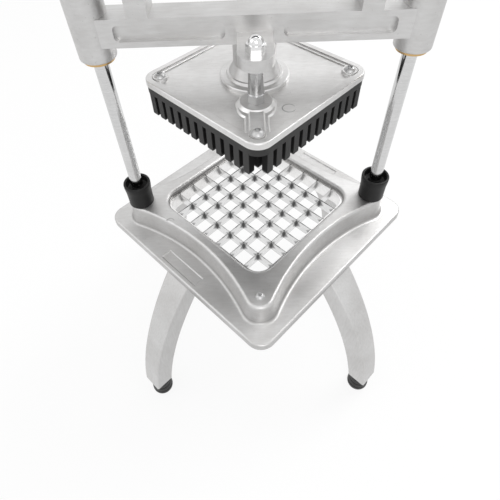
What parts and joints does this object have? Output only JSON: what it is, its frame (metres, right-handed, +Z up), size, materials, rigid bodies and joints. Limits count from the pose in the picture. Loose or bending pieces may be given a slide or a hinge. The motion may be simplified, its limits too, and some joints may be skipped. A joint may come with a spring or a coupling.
{
  "type": "french fry cutter",
  "caption": "Push-down french fry cutter: a head with a fingered pusher block slides on guide rods and presses potatoes through a blade grid in a legged base.",
  "frame": {"origin": "on the bench, under the middle of the blade opening", "axes": "+Z up; -Y towards the operator, who faces a corner of the square base; +X to the operator's right; the guide rods stand on the X axis"},
  "size_m": [0.2052, 0.2052, 0.3566],
  "materials": {
    "cast_aluminium": "satin",
    "polished_blade": "polished",
    "bright_rod": "polished",
    "black_rubber": "matte",
    "black_plastic": "satin",
    "steel_fastener": "satin",
    "bushing_bronze": "satin",
    "chrome_trim": "polished"
  },
  "bodies": {
    "base": {"base_plate": "cast_aluminium", "blade_frame": "cast_aluminium", "blades_lower": "polished_blade", "blades_upper": "polished_blade", "blade_frame_screws": "steel_fastener", "blade_frame_nuts": "steel_fastener", "leg_front_left": "cast_aluminium", "leg_front_right": "cast_aluminium", "leg_rear_left": "cast_aluminium", "leg_rear_right": "cast_aluminium", "leg_screws": "steel_fastener", "foot_front_left": "black_rubber", "foot_front_right": "black_rubber", "foot_rear_left": "black_rubber", "foot_rear_right": "black_rubber", "foot_screws": "steel_fastener", "guide_rod_left": "bright_rod", "guide_rod_right": "bright_rod", "rod_washers": "steel_fastener", "rod_nuts": "steel_fastener", "bumper_left": "black_rubber", "bumper_right": "black_rubber", "rod_cap_left": "black_plastic", "rod_cap_right": "black_plastic"},
    "head": {"yoke": "cast_aluminium", "bushing_left": "bushing_bronze", "bushing_right": "bushing_bronze", "pusher_tray": "cast_aluminium", "pusher_block": "black_plastic", "pusher_screws": "steel_fastener", "tray_studs": "steel_fastener", "spacer_posts": "chrome_trim", "cap_nuts": "chrome_trim", "handle_bar": "bright_rod", "handle_grip": "black_rubber", "handle_end_nuts": "chrome_trim"}
  },
  "joints": [
    {"name": "head_slide", "type": "slide", "parent": "base", "child": "head", "axis": [0, 0, 1], "range_m": [-0.0885, 0.06]}
  ]
}
